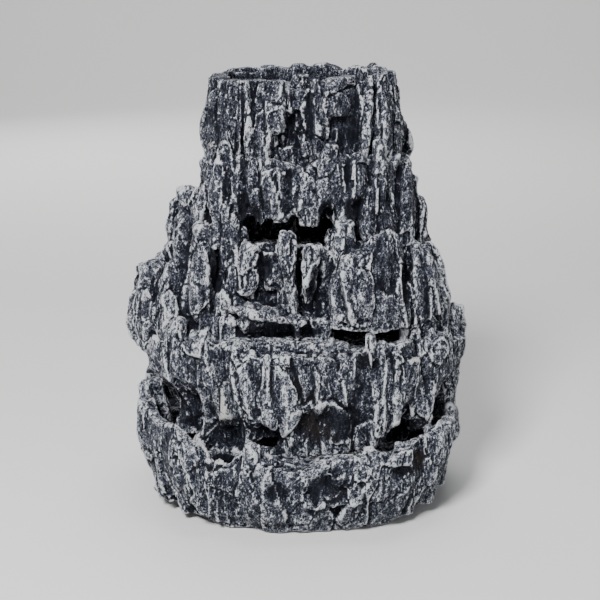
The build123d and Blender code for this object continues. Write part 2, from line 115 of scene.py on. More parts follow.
# ------------------------------------------------------------------ mesh helpers
class Net:
    """A mesh's points and neighbours as arrays."""

    def __init__(self, mesh):
        self.mesh = mesh
        self.count = len(mesh.vertices)
        edges = np.zeros(len(mesh.edges) * 2, np.int32)
        mesh.edges.foreach_get("vertices", edges)
        self.a, self.b = edges.reshape(-1, 2).T
        self.links = np.bincount(self.a, minlength=self.count) + np.bincount(self.b, minlength=self.count)
        self.links = np.maximum(self.links, 1)

    def points(self):
        flat = np.zeros(self.count * 3, np.float32)
        self.mesh.vertices.foreach_get("co", flat)
        return flat.reshape(-1, 3).astype(float)

    def place(self, points):
        self.mesh.vertices.foreach_set("co", points.astype(np.float32).ravel())
        self.mesh.update()

    def normals(self):
        flat = np.zeros(self.count * 3, np.float32)
        self.mesh.vertex_normals.foreach_get("vector", flat)
        return flat.reshape(-1, 3).astype(float)

    def spread(self, values):
        """Mean of each point's neighbours."""
        if values.ndim == 1:
            total = np.bincount(self.a, values[self.b], self.count)
            total += np.bincount(self.b, values[self.a], self.count)
            return total / self.links
        return np.stack([self.spread(values[:, axis]) for axis in range(values.shape[1])], axis=1)

    def smooth(self, values, rounds):
        for _ in range(rounds):
            values = (values + self.spread(values)) / 2
        return values


def crag(bm, foot, tip, width, depth, seed, taper=0.3, turn=None):
    """Irregular tapered column of rock from foot to tip, as a closed mesh.

    taper is the narrowest it gets along the way, and turn the heading of its wide side."""
    draw = random.Random(seed)
    foot = Vector(foot) * MM
    tip = Vector(tip) * MM
    axis = (tip - foot).normalized()
    if turn is None:
        turn = math.atan2(foot.x / 1.4, -foot.y)
    side = Vector((math.cos(turn), math.sin(turn), 0))
    out = axis.cross(side).normalized()
    side = out.cross(axis).normalized()
    sides = 9
    reach = [draw.uniform(0.82, 1.12) for _ in range(sides)]
    levels = ((0.0, 0.62), (0.1, 0.92), (0.3, 1.02), (0.6, 0.92), (0.82, 0.72), (0.95, 0.45),
              (1.0, taper * 0.6))
    rings = []
    for part, size in levels:
        size = max(size, taper) if 0 < part < 1 else size
        centre = foot.lerp(tip, part)
        wobble = [draw.uniform(0.92, 1.08) for _ in range(sides)]
        ring = []
        for step in range(sides):
            angle = 2 * math.pi * step / sides
            grow = reach[step] * wobble[step] * size * MM / 2
            ring.append(bm.verts.new(centre + side * (math.cos(angle) * width * grow)
                                     + out * (math.sin(angle) * depth * grow)))
        rings.append(ring)
    for low, high in zip(rings, rings[1:]):
        for i in range(sides):
            j = (i + 1) % sides
            bm.faces.new((low[i], low[j], high[j], high[i]))
    bm.faces.new(list(reversed(rings[0])))
    bm.faces.new(rings[-1])


def remeshed(name, node, crags, voxel):
    """CAD solid and crags merged into one even mesh, as a new object."""
    bm = bmesh.new()
    bm.from_mesh(nodes[node].data)
    for number, (foot, tip, width, depth, *form) in enumerate(crags):
        crag(bm, foot, tip, width, depth, seed=number + 11, **(form[0] if form else {}))
    bmesh.ops.recalc_face_normals(bm, faces=bm.faces)
    mesh = bpy.data.meshes.new(name)
    bm.to_mesh(mesh)
    bm.free()
    rough = bpy.data.objects.new(name + "_rough", mesh)
    bpy.context.scene.collection.objects.link(rough)
    change = rough.modifiers.new("even", "REMESH")
    change.mode = "VOXEL"
    change.voxel_size = voxel * MM
    change.use_smooth_shade = True
    bpy.context.view_layer.update()
    final = bpy.data.meshes.new_from_object(rough.evaluated_get(bpy.context.evaluated_depsgraph_get()))
    bpy.data.objects.remove(rough)
    final.name = name
    piece = bpy.data.objects.new(name, final)
    bpy.context.scene.collection.objects.link(piece)
    return piece


MIDDLE_AXIS = Vector((0, 10 * MM, 0))  # the rays that find a casting's wall aim at this axis
RAY_START = 0.2                        # metres outside it


def scatter_crags(node, count, seed, low, high, lift=(0, 5), width=(7, 15), sunk=1.5, hang=7,
                  bridge=99, clear=()):
    """Crags all round a casting, standing on its outside wall between two heights.

    lift is how far the tallest stand over the top and hang how far the lowest reach over the
    seam below.  sunk is how deep they sit in the wall and bridge the widest ledge one may
    span.  clear lists boxes of the front (x0, x1, z0, z1) that stay free of them."""
    draw = random.Random(seed)
    tree = BVHTree.FromPolygons([v.co for v in nodes[node].data.vertices],
                                [f.vertices for f in nodes[node].data.polygons])
    places = []
    for number in range(count):
        angle = 2 * math.pi * (number + draw.uniform(-0.4, 0.4)) / count
        heading = Vector((math.cos(angle), math.sin(angle), 0))
        start = low + (high - low) * max(draw.uniform(-0.25, 0.45), 0)
        end = high if draw.random() < 0.45 else start + (high - start) * draw.uniform(0.45, 0.95)
        spots = []
        for z in (start, end - 2):
            hit = tree.ray_cast(MIDDLE_AXIS + Vector((0, 0, z * MM)) + heading * RAY_START, -heading)[0]
            if hit is not None:
                spots.append(hit / MM - heading * draw.uniform(sunk - 1, sunk + 1))
        rise = draw.uniform(*lift) if end == high else 0
        drop = draw.uniform(0.3, 1) * hang if start == low else 0
        wide, deep, sway = draw.uniform(*width), draw.uniform(6, 10), draw.uniform(-2.5, 2.5)
        if len(spots) < 2:
            continue
        foot, tip = spots
        if abs(foot.xy.length - tip.xy.length) > bridge:
            continue
        if tip.y < 0 and any(x0 < tip.x < x1 and z0 < end and start < z1 for x0, x1, z0, z1 in clear):
            continue
        foot = (foot.x, foot.y, start - drop)
        tip = (tip.x + sway, tip.y, end + rise)
        places.append((foot, tip, wide, deep, {"turn": angle + math.pi / 2}))
    return places


def away_from(points, centre, reach):
    """Distance from centre, as a share of the reach on each axis."""
    return np.linalg.norm((points - np.array(centre)) / np.array(reach), axis=1)


def sculpt(piece, seed, calm=(), dents=(), sinks=(), bare=(), floor=None, ceiling=None, ragged=0):
    """Break a casting's skin into flutes, plates, cracks and pits; note where paint catches and where
    light and shade are painted.

    calm lists boxes (low corner, high corner) where the skin stays nearly as moulded.
    dents lists hollows (centre, reach on each axis, depth) that the whole wall is bent in by
    and that are painted darker towards their middle as painted shade, a depth of 0 only painting
    the shade; sinks places (centre, reach on each axis, drop) where a rim hangs lower, or higher
    where the drop is negative, and bare places (centre, reach on each axis) that are
    painted near charcoal as painted shade.
    floor is the height nothing drops below, ceiling the heights of a rim's left and right
    ends, and ragged how far the rim round the back is broken up and down."""
    net = Net(piece.data)
    points = net.smooth(net.points() / MM, 1)
    # Painted shade: each dent is painted darker towards its middle, through the paint attributes below.
    shade = np.zeros(len(points))
    for centre, reach, depth in dents:
        inward = np.array([-centre[0] / 1.9, -centre[1], 0])
        inward /= np.linalg.norm(inward)
        near = 1 - ramp(away_from(points, centre, reach), 0.3, 1.0)
        points = points + inward * (depth * near)[:, None]
        shade = np.maximum(shade, near)
    for centre, reach, drop in sinks:
        points[:, 2] -= drop * (1 - ramp(away_from(points, centre, reach), 0.4, 1.0))
    net.place(points * MM)
    normals = net.normals()
    outward = points[:, :2] / np.maximum(np.linalg.norm(points[:, :2], axis=1, keepdims=True), 1)
    facing = np.sum(outward * normals[:, :2], axis=1)
    amount = 0.4 + 0.6 * ramp(facing + np.maximum(normals[:, 2], 0), -0.3, 0.3)
    for low, high in calm:
        gap = np.maximum(np.maximum(np.array(low) - points, points - np.array(high)), 0)
        amount *= 0.12 + 0.88 * ramp(np.linalg.norm(gap, axis=1), 0, 5)
    steep = 1 - np.abs(normals[:, 2])
    bend = np.stack([layered(points / 24, seed + n, 2) for n in (1, 2, 3)], axis=1)
    warped = points + bend * np.array([3.0, 3.0, 6.0])

    gap, plate = cells(warped / np.array([16, 16, 42]), seed + 20)
    chip = cells(warped / np.array([5.5, 5.5, 11]), seed + 25)[1]
    crack = 1 - ramp(gap, 0.0, 0.07)
    bark = 0.25 + 0.75 * ramp(layered(points / 32, seed + 50, 2), -0.5, 0.6)
    flute = 1 - np.abs(noise(warped / np.array([6.5, 6.5, 60]), seed + 10))
    fine_flute = 1 - np.abs(noise(warped / np.array([3.0, 3.0, 20]), seed + 14))
    lumps = layered(points / np.array([7, 7, 10]), seed + 30, 4)
    pits = ramp(noise(points / 2.6, seed + 40), 0.3, 0.85)
    height = (steep * bark * (1.6 * flute ** 3 + 1.0 * fine_flute ** 2 - 1.1)
              + (0.35 + 0.65 * steep) * (3.0 * plate - 1.1 * crack) + 0.9 * chip
              + 0.8 * lumps - 0.3 * pits)
    height = np.clip(height * amount, -3.4, 3.2)
    points = points + normals * height[:, None]
    jag = layered(points / np.array([5.5, 5.5, 40]), seed + 60, 2)
    points[:, 2] += 1.2 * jag * ramp(amount, 0.4, 1.0)
    top = points[:, 2].max()
    rear_rim = ramp(points[:, 2], top - 22, top - 6) * ramp(points[:, 1], -25, 5)
    points[:, 2] += ragged * rear_rim * layered(points / np.array([10, 10, 80]), seed + 70, 2)
    if floor is not None:
        points[:, 2] = np.maximum(points[:, 2], floor)
    if ceiling is not None:
        over = points[:, 2] - np.interp(points[:, 0], (-60, 60), ceiling)
        points[:, 2] -= 0.85 * np.maximum(over, 0)
    net.place(points * MM)

    normals = net.normals()
    tight = np.sum((points - net.smooth(points, 3)) * normals, axis=1)
    broad = np.sum((points - net.smooth(points, 30)) * normals, axis=1)
    large = np.sum((points - net.smooth(points, 150)) * normals, axis=1)
    edge = 0.5 + 0.5 * np.clip(tight / 0.42, -1, 1)
    # White drybrush caught by small ridges, plus painted light and shade: more white on large bulges and
    # upward faces, less in large hollows and in dents.
    drybrush_and_painted_light = 0.5 + 0.22 * np.clip(broad / 1.1, -1, 1) + 0.1 * np.clip(tight / 0.15, -1, 1)
    drybrush_and_painted_light += 0.26 * np.clip(large / 2.2, -1, 1)
    drybrush_and_painted_light += 0.3 * np.maximum(normals[:, 2], 0)
    drybrush_and_painted_light -= 0.6 * shade
    # Large hollows and dents, which the shader paints darker as painted shade and tints brown low down.
    hollow = np.maximum(ramp(-broad, 0.5, 2.2), 0.8 * shade)
    # Painted shade: the listed places, such as the drain hole's inside, are painted near charcoal.
    hole_shade_mask = np.zeros(len(points))
    for centre, reach in bare:
        hole_shade_mask = np.maximum(hole_shade_mask, 1 - ramp(away_from(points, centre, reach), 0.75, 1.0))
    for name, values in (("drybrush_and_painted_light", drybrush_and_painted_light), ("edge", edge), ("hollow", hollow), ("bare", hole_shade_mask)):
        layer = piece.data.attributes.new(name, "FLOAT", "POINT")
        layer.data.foreach_set("value", np.clip(values, 0, 1).astype(np.float32))


# ------------------------------------------------------------------ materials
class Nodes:
    """Short way to add and join shader nodes."""

    def __init__(self, name):
        self.material = bpy.data.materials.new(name)
        self.material.use_nodes = True
        self.tree = self.material.node_tree
        self.shader = self.tree.nodes["Principled BSDF"]
        self.place = self.add("ShaderNodeTexCoord").outputs["Object"]

    def add(self, kind, **settings):
        node = self.tree.nodes.new(kind)
        for key, value in settings.items():
            setattr(node, key, value)
        return node

    def join(self, source, target):
        self.tree.links.new(source, target)

    def feed(self, target, value):
        if isinstance(value, bpy.types.NodeSocket):
            self.join(value, target)
        else:
            target.default_value = value

    def math(self, operation, a, b=0.0, clamp=False):
        node = self.add("ShaderNodeMath", operation=operation, use_clamp=clamp)
        self.feed(node.inputs[0], a)
        self.feed(node.inputs[1], b)
        return node.outputs[0]

    def total(self, *terms):
        """Sum of values, each times its weight."""
        result = 0.0
        for value, weight in terms:
            result = self.math("ADD", result, self.math("MULTIPLY", value, weight))
        return result

    def noise(self, scale, detail=4.0, roughness=0.6, stretch=(1, 1, 1), distortion=0.0):
        mapping = self.add("ShaderNodeMapping")
        self.join(self.place, mapping.inputs["Vector"])
        mapping.inputs["Scale"].default_value = stretch
        texture = self.add("ShaderNodeTexNoise")
        self.join(mapping.outputs["Vector"], texture.inputs["Vector"])
        texture.inputs["Scale"].default_value = scale
        texture.inputs["Detail"].default_value = detail
        texture.inputs["Roughness"].default_value = roughness
        texture.inputs["Distortion"].default_value = distortion
        return texture.outputs["Fac"]

    def height(self):
        """Height above the table."""
        split = self.add("ShaderNodeSeparateXYZ")
        self.join(self.place, split.inputs["Vector"])
        return split.outputs["Z"]

    def ridged(self, scale, stretch=(1, 1, 1)):
        """Thin winding ridges, 1 along each ridge."""
        away = self.math("ABSOLUTE", self.math("SUBTRACT", self.noise(scale, 3.0, 0.6, stretch, 0.6), 0.5))
        return self.math("SUBTRACT", 1.0, self.math("MULTIPLY", away, 9.0), clamp=True)

    def step(self, value, low, high):
        node = self.add("ShaderNodeMapRange", interpolation_type="SMOOTHSTEP")
        self.feed(node.inputs["Value"], value)
        node.inputs["From Min"].default_value = low
        node.inputs["From Max"].default_value = high
        return node.outputs["Result"]

    def mix(self, factor, a, b):
        node = self.add("ShaderNodeMix", data_type="RGBA")
        self.feed(node.inputs[0], factor)
        for socket, value in ((node.inputs[6], a), (node.inputs[7], b)):
            if not isinstance(value, bpy.types.NodeSocket):
                value = (*value, 1.0)
            self.feed(socket, value)
        return node.outputs[2]

    def bump(self, height, strength, distance, under=None):
        node = self.add("ShaderNodeBump")
        node.inputs["Strength"].default_value = strength
        node.inputs["Distance"].default_value = distance
        self.join(height, node.inputs["Height"])
        if under is not None:
            self.join(under, node.inputs["Normal"])
        return node.outputs["Normal"]

    def attribute(self, name):
        return self.add("ShaderNodeAttribute", attribute_name=name).outputs["Fac"]

    def finish(self, color, roughness, normal=None):
        self.feed(self.shader.inputs["Base Color"], color)
        self.feed(self.shader.inputs["Roughness"], roughness)
        if normal is not None:
            self.join(normal, self.shader.inputs["Normal"])
        return self.material


def painted_rock():
    """Charcoal resin, drybrushed white on ridges, with faint stains; painted light and shade on larger
    forms, in dents, in the drain hole and over the upper tiers.
    """
    n = Nodes("painted_rock")
    drybrush_and_painted_light = n.attribute("drybrush_and_painted_light")
    edge = n.attribute("edge")
    hollow = n.attribute("hollow")
    speckle = n.noise(760, 3.0, 0.75, (1, 1, 0.75), 1.0)
    threads = n.ridged(640, (1, 1, 0.6))
    streak = n.noise(330, 5.0, 0.7, (1, 1, 0.28), 0.4)
    veins = n.ridged(210, (1, 1, 0.32))
    patch = n.noise(55, 3.0, 0.6)
    ridge = n.step(edge, 0.62, 0.95)
    crevice = n.step(edge, 0.42, 0.1)
    relief = n.total((speckle, 2.7), (threads, 0.5), (streak, 0.6), (veins, 0.3))
    # Painted shade: more white below 13 to 21 cm paints the upper tiers darker against the stronger lamp
    # light on top.
    lower = n.step(n.height(), 0.21, 0.13)
    # White paint amount: brush speckle and ridges, with painted light and shade from the sculpt's
    # attributes and the height step.
    paint = n.total((relief, 1.0), (drybrush_and_painted_light, 0.4), (ridge, 0.62), (patch, 0.5), (lower, 0.12),
                    (crevice, -0.4), (hollow, -0.3), (n.attribute("bare"), -1.6))
    wash = n.step(paint, 2.4, 2.68)
    haze = n.step(paint, 2.78, 2.98)
    white = n.step(paint, 2.98, 3.12)
    tone = n.noise(28, 2.0, 0.5)
    base = n.mix(tone, (0.002, 0.0025, 0.006), (0.006, 0.007, 0.014))
    base = n.mix(n.step(streak, 0.46, 0.62), base, (0.02, 0.022, 0.034))
    low = n.step(n.height(), 0.15, 0.06)
    brown = n.math("MULTIPLY", hollow, n.step(n.noise(20, 2.0, 0.5), 0.5, 0.7))
    base = n.mix(n.math("MULTIPLY", brown, low), base, (0.03, 0.021, 0.016))
    grain = n.step(n.noise(1000, 3.0, 0.7), 0.4, 0.62)
    wash_color = n.mix(low, (0.048, 0.052, 0.074), (0.045, 0.056, 0.08))
    wash_color = n.mix(grain, wash_color, (0.115, 0.124, 0.163))
    color = n.mix(wash, base, wash_color)
    chalk = n.mix(n.noise(60, 2.0, 0.5), (0.79, 0.81, 0.88), (0.97, 0.98, 1.0))
    olive = n.math("MULTIPLY", n.step(n.noise(24, 3.0, 0.6, (1, 1, 0.5)), 0.6, 0.72), 0.4)
    chalk = n.mix(olive, chalk, (0.5, 0.48, 0.32))
    color = n.mix(haze, color, (0.25, 0.265, 0.32))
    color = n.mix(white, color, chalk)
    coarse = n.bump(relief, 1.0, 0.0013)
    normal = n.bump(n.noise(1100, 3.0, 0.6), 0.3, 0.0003, coarse)
    roughness = n.math("ADD", 0.6, n.math("MULTIPLY", white, 0.22))
    n.shader.inputs["Specular IOR Level"].default_value = 0.15
    return n.finish(color, roughness, normal)


def moulded(name, dark, light, roughness, grain=900, relief=0.15):
    """Moulded plastic or rubber with a fine grain and a little mottling."""
    n = Nodes(name)
    texture = n.noise(grain, 3.0, 0.6)
    mottle = n.noise(60, 2.0, 0.5)
    rough = n.math("ADD", roughness - 0.06, n.math("MULTIPLY", texture, 0.12))
    return n.finish(n.mix(mottle, dark, light), rough, n.bump(texture, relief, 0.0002))


def metal(name, dark, light, roughness, stretch):
    """Metal with fine drawn lines along the axes that stretch holds short."""
    n = Nodes(name)
    lines = n.noise(700, 3.0, 0.6, stretch)
    n.shader.inputs["Metallic"].default_value = 1.0
    rough = n.math("ADD", roughness, n.math("MULTIPLY", lines, 0.15))
    return n.finish(n.mix(lines, dark, light), rough, n.bump(lines, 0.3, 0.0002))


def milky_vinyl():
    """Cloudy soft hose."""
    n = Nodes("milky_vinyl")
    haze = n.noise(90, 3.0, 0.6, (1, 1, 0.2))
    n.shader.inputs["Transmission Weight"].default_value = 0.35
    n.shader.inputs["IOR"].default_value = 1.45
    color = n.mix(haze, (0.55, 0.6, 0.57), (0.75, 0.78, 0.75))
    return n.finish(color, n.math("ADD", 0.25, n.math("MULTIPLY", haze, 0.15)), n.bump(haze, 0.1, 0.0003))


def stage_material(name, color):
    """Plain matt surface of the studio."""
    n = Nodes(name)
    return n.finish(n.mix(n.noise(3, 2.0, 0.5), color, tuple(c * 0.97 for c in color)), 0.9)


# ------------------------------------------------------------------ rock castings
# Crags are (foot, tip, width, depth, form).  Dents and sinks are explained in sculpt; each dent is also
# painted shade.
SUMMIT_CRAGS = [
    ((-31, -35.5, 243), (-33.5, -32.5, 298), 6, 8),
    ((-24, -37, 243), (-24.5, -34, 293), 13, 8, {"taper": 0.6}),
    ((-16, -32, 295), (-15.5, -41, 262), 15, 9),
    ((-44, -30, 242), (-42, -27, 300), 17, 12, {"taper": 0.6}),
    ((-55, -14, 242), (-52, -10, 299), 12, 20, {"taper": 0.8}),
    ((3, -34, 246), (1, -31, 289), 6, 8),
    ((13, -35, 244), (12, -32, 297), 6, 8),
    ((27, -33, 272), (27, -31, 300), 30, 13, {"taper": 0.8}),
    ((16, -36, 268), (20, -35, 296), 9, 9, {"taper": 0.6}),
    ((40, -33, 246), (44, -29, 299), 6, 9),
    ((51, -26, 242), (50, -23, 299), 9, 14, {"taper": 0.7}),
    ((58, -14, 240), (56, -12, 301), 9, 16, {"taper": 0.7}),
    ((63, -2, 234), (60, 0, 294), 9, 16, {"taper": 0.6}),
    ((67, 3, 222), (65, 4, 268), 7, 18, {"taper": 0.6}),
    ((1, -9, 280), (0, -9, 296), 19, 9, {"taper": 0.7}),
]
SUMMIT_DENTS = [((36, -38, 262), (10, 12, 15), 3), ((-4, -36, 266), (10, 14, 13), 4),
                ((6, -38, 275), (4, 10, 22), 3)]
UPPER_CRAGS = [
    ((-46, -42, 214), (-48, -38, 258), 15, 11, {"taper": 0.55}),
    ((-38, -43, 226), (-38, -41, 250), 9, 9, {"taper": 0.6}),
    ((-58, -28, 206), (-57, -24, 254), 15, 15, {"taper": 0.55}),
    ((-28, -46, 236), (-27, -45, 248), 9, 9, {"taper": 0.6}),
    ((-17, -46, 214), (-17, -48, 242), 17, 11, {"taper": 0.9}),
    ((1, -46, 218), (2, -46, 239), 13, 10, {"taper": 0.8}),
    ((20, -47, 215), (20, -45, 256), 20, 13, {"taper": 0.6}),
    ((36, -45, 220), (37, -42, 250), 16, 11, {"taper": 0.6}),
    ((51, -38, 206), (50, -34, 258), 12, 11, {"taper": 0.7}),
    ((45, -42, 192), (43, -41, 228), 14, 11, {"taper": 0.7}),
    ((-33, -46, 230), (-27, -48, 204), 20, 12, {"taper": 0.5}),
    ((-14, -45, 236), (-13, -46, 209), 44, 11, {"taper": 0.9}),
    ((4, -47, 228), (6, -49, 204), 21, 12, {"taper": 0.6}),
    ((-12, -46, 226), (-12, -47, 206), 16, 9, {"taper": 0.6}),
    ((-20, -43, 224), (-20, -43, 212), 12, 9),
    ((29, -46, 200), (29, -45, 227), 13, 10, {"taper": 0.75}),
    ((-44, -42, 182), (-43, -41, 224), 11, 11, {"taper": 0.6}),
    ((-38, -40, 222), (-37, -40, 205), 10, 12, {"taper": 0.5}),
    ((-41, -40, 184), (-37, -38, 200), 10, 14, {"taper": 0.4}),
    ((19, -42, 224), (20, -41, 204), 11, 12, {"taper": 0.5}),
    ((23, -42, 184), (19, -38, 200), 12, 14, {"taper": 0.4}),
    ((-82, -8, 176), (-81, -8, 213), 12, 20, {"taper": 0.8}),
    ((-74, -18, 186), (-73, -16, 224), 12, 18, {"taper": 0.8}),
    ((-66, -24, 206), (-64, -22, 222), 9, 14, {"taper": 0.7}),
    ((57, -39, 178), (56, -34, 224), 12, 12, {"taper": 0.7}),
    ((65, -31, 175), (63, -26, 230), 12, 14, {"taper": 0.8}),
    ((72, -14, 176), (70, -10, 232), 9, 20, {"taper": 0.8}),
    ((77, -4, 180), (76, 0, 204), 9, 20, {"taper": 0.8}),
    ((83, 0, 176), (81, 2, 194), 7, 18, {"taper": 0.8}),
]
UPPER_DENTS = [((-38, -48, 214), (6, 12, 18), 5), ((34, -48, 214), (8, 12, 14), 1.5),
               ((31, -48, 236), (4, 10, 16), 3), ((-59, -36, 207), (6, 12, 9), 7),
               ((-7, -48, 232), (4, 10, 10), 2.5), ((-31, -49, 211), (9, 12, 12), 4),
               ((18, -49, 213), (8, 12, 13), 4), ((-4, -49, 207), (5, 10, 7), 3)]
UPPER_SINKS = [((-34, -47, 204), (10, 10, 13), -4.5), ((17, -47, 204), (8, 10, 13), -3.5)]
MIDDLE_CRAGS = [
    ((29, -50, 176), (29, -51, 208), 15, 12, {"taper": 0.75}),
    ((-49, -45, 168), (-48, -42, 221), 13, 11, {"taper": 0.6}),
    ((-64, -43, 164), (-63, -41, 204), 18, 13, {"taper": 0.7}),
    ((-79, -36, 150), (-78, -32, 190), 13, 16, {"taper": 0.6}),
    ((-98, -18, 108), (-97, -14, 171), 22, 30, {"taper": 0.75}),
    ((-104, -2, 106), (-103, 2, 165), 12, 34, {"taper": 0.7}),
    ((-88, -30, 118), (-88, -26, 158), 16, 18, {"taper": 0.6}),
    ((-33, -50, 160), (-32, -47, 197), 14, 10, {"taper": 0.6}),
    ((-20, -48, 160), (-21, -46, 190), 9, 8),
    ((-9, -53, 203), (-8, -56, 170), 14, 9, {"taper": 0.6}),
    ((-8.5, -55, 186), (-3.5, -58, 146), 9, 9, {"taper": 0.2}),
    ((-4.5, -58, 148), (-7, -56, 192), 4, 6),
    ((9, -48, 158), (8, -46, 194), 9, 9),
    ((7, -52, 193), (5, -56, 153), 12, 8, {"taper": 0.4}),
    ((-44, -53, 151), (5, -58, 142), 22, 10, {"turn": math.pi / 2, "taper": 0.5}),
    ((-40, -50, 140), (0, -51, 135), 18, 18, {"turn": math.pi / 2, "taper": 0.7}),
    ((-36, -54, 148), (-35, -57, 133), 11, 8, {"taper": 0.6}),
    ((-2, -58, 147), (-2, -60, 129), 8, 7),
    ((42, -50, 190), (44, -60, 140), 42, 20, {"taper": 0.65}),
    ((57, -47, 200), (53, -59, 148), 20, 15, {"taper": 0.5}),
    ((25, -60, 147), (64, -57, 141), 12, 9, {"turn": math.pi / 2, "taper": 0.5}),
    ((27, -56, 146), (31, -50, 202), 12, 12, {"taper": 0.5}),
    ((46, -60, 148), (48, -52, 198), 15, 12, {"taper": 0.5}),
    ((62, -52, 140), (61, -46, 192), 14, 14, {"taper": 0.5}),
    ((79, -38, 120), (76, -34, 188), 15, 15, {"taper": 0.6}),
    ((89, -14, 140), (88, -12, 180), 9, 18, {"taper": 0.7}),
    ((96, -6, 136), (96, -2, 169), 7, 14, {"taper": 0.5}),
    ((92, -20, 118), (92, -18, 150), 12, 18, {"taper": 0.6}),
]
MIDDLE_SINKS = [((-12, -46, 197), (30, 9, 12), 11)]
MIDDLE_DENTS = [((10, -50, 162), (9, 16, 26), 7), ((-24, -50, 176), (8, 14, 12), 4),
                ((-15, -54, 134), (36, 14, 10), 6), ((-56, -48, 172), (5, 12, 20), 4),
                ((70, -50, 168), (5, 14, 26), 5), ((-76, -44, 136), (14, 14, 12), 5)]
LOWER_CRAGS = [
    ((-54, -56, 126), (32, -56, 125), 20, 8, {"turn": math.pi / 2, "taper": 0.8}),
    ((-84, -42, 122), (-80, -44, 140), 18, 16, {"taper": 0.6}),
    ((-66, -53, 134), (-45, -65, 66), 21, 15, {"taper": 0.25}),
    ((-40, -63, 125), (-30, -67, 60), 16, 13, {"taper": 0.25}),
    ((-25, -66, 127), (-24, -67, 92), 12, 11, {"taper": 0.5}),
    ((-24, -70, 88), (-19, -71, 66), 12, 7, {"taper": 0.5}),
    ((-14, -66, 124), (-5, -69, 58), 17, 13, {"taper": 0.25}),
    ((3, -67, 121), (3, -68, 86), 13, 12, {"taper": 0.5}),
    ((17, -68, 126), (12, -70, 77), 15, 12, {"taper": 0.4}),
    ((24, -68, 112), (23, -69, 92), 12, 9, {"taper": 0.5}),
    ((34, -66, 124), (28, -69, 84), 17, 12, {"taper": 0.5}),
    ((45, -68, 138), (46, -69, 112), 8, 8, {"taper": 0.7}),
    ((51, -63, 130), (53, -67, 64), 14, 12, {"taper": 0.4}),
    ((64, -58, 128), (62, -61, 68), 12, 12, {"taper": 0.4}),
    ((78, -46, 64), (76, -48, 132), 14, 13, {"taper": 0.6}),
    ((90, -36, 78), (88, -34, 136), 12, 14, {"taper": 0.6}),
    ((102, -16, 84), (104, -10, 138), 9, 20, {"taper": 0.7}),
    ((108, 0, 92), (107, 4, 136), 8, 20, {"taper": 0.7}),
]
LOWER_SINKS = [((-10, -70, 128), (56, 14, 12), 5), ((4, -68, 124), (12, 10, 9), 2),
               ((27, -68, 124), (9, 10, 9), 2)]
LOWER_DENTS = [((-77, -42, 78), (28, 28, 27), 17), ((-38, -68, 64), (30, 20, 18), 6),
               ((20, -70, 73), (34, 16, 20), 4), ((70, -54, 58), (34, 22, 16), 7),
               ((-20, -70, 62), (14, 16, 18), 5), ((94, -30, 70), (16, 24, 20), 6),
               ((-52, -66, 60), (18, 18, 17), 6)]
BASIN_CRAGS = [
    ((-30.5, -84, 24), (-30.5, -87, 68), 15, 11, {"taper": 0.7}),
    ((88, -53, 28), (88, -50, 67), 15, 13, {"taper": 0.8}),
    ((50, -79, 40), (50, -79, 59), 18, 10, {"taper": 0.7}),
    ((67, -70, 44), (67, -71, 63), 16, 11, {"taper": 0.7}),
    ((24, -86, 36), (26, -86, 56), 15, 9, {"taper": 0.7}),
    ((6, -87.5, 24), (40, -86, 27), 7, 6, {"turn": math.pi / 2, "taper": 0.6}),
    ((5, -88, 24), (2, -88, 54), 10, 8, {"taper": 0.6}),
    ((-100, -26, 34), (-103, -20, 88), 14, 28, {"taper": 0.7}),
    ((72, -66, 22), (98, -44, 36), 9, 8, {"turn": math.pi / 2, "taper": 0.6}),
]
BASIN_SINKS = [((-54, -84, 58), (19, 13, 36), 13), ((6, -88, 58), (36, 12, 12), 7)]
# The dent of depth 0 round the drain hole only paints shade there.
BASIN_DENTS = [((20, -92, 37), (26, 14, 12), 2.5), ((66, -76, 44), (16, 14, 8), 3),
               ((80, -66, 46), (7, 16, 14), 2),
               ((-51.5, -72, 50), (17, 14, 14), 0), ((-16, -92, 36), (10, 12, 9), 2),
               ((-89, -52, 8), (10, 10, 12), 6), ((-75, -69, 8), (10, 10, 12), 6)]


def casting(node, crags, seed, voxel, scatter=None, body="ornament", **shape):
    """Visible rock for one casting's CAD node, riding a body."""
    loose = scatter_crags(node, seed=seed, **scatter) if scatter else []
    piece = remeshed(node + "_rock", node, crags + loose, voxel + COARSER)
    sculpt(piece, seed, **shape)
    piece.data.materials.clear()
    piece.data.materials.append(rock_paint)
    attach(piece, body)
    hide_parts(node)


rock_paint = painted_rock()
HATCH_FRAME = [((-38, 62, 56), (38, 90, 108)), ((-58, 60, 64), (-38, 90, 84))]
HATCH_INSIDE = [((-40, 60, 50), (40, 78, 110))]
# Inside of the drain hole, painted near charcoal as painted shade.
DRAIN = [((-51.5, -70.3, 45), (11, 11, 9))]
CAVES = (-45, 60, 0, 400)             # the front of the upper tiers, shaped by the listed crags
casting("basin_casting", BASIN_CRAGS, 3, 1.3,
        dict(count=44, low=24, high=58, hang=0, lift=(-3, 4), width=(11, 19), sunk=5.4,
             clear=[(-95, 70, 0, 90)]),
        dents=BASIN_DENTS, sinks=BASIN_SINKS, bare=DRAIN, floor=1.0, ragged=4)
casting("lower_rock", LOWER_CRAGS, 5, 1.3,
        dict(count=44, low=52, high=118, hang=0, lift=(-2, 4), clear=[(-95, 95, 0, 200)]),
        calm=HATCH_FRAME, dents=LOWER_DENTS, sinks=LOWER_SINKS, ragged=6)
casting("middle_rock", MIDDLE_CRAGS, 7, 1.25,
        dict(count=46, low=119, high=184, lift=(-2, 5), clear=[(-45, 75, 0, 400)]),
        dents=MIDDLE_DENTS, sinks=MIDDLE_SINKS, ragged=6)
casting("upper_rock", UPPER_CRAGS, 9, 1.15,
        dict(count=52, low=185, high=240, lift=(-2, 5), bridge=7, clear=[CAVES]),
        dents=UPPER_DENTS, sinks=UPPER_SINKS, ragged=6)
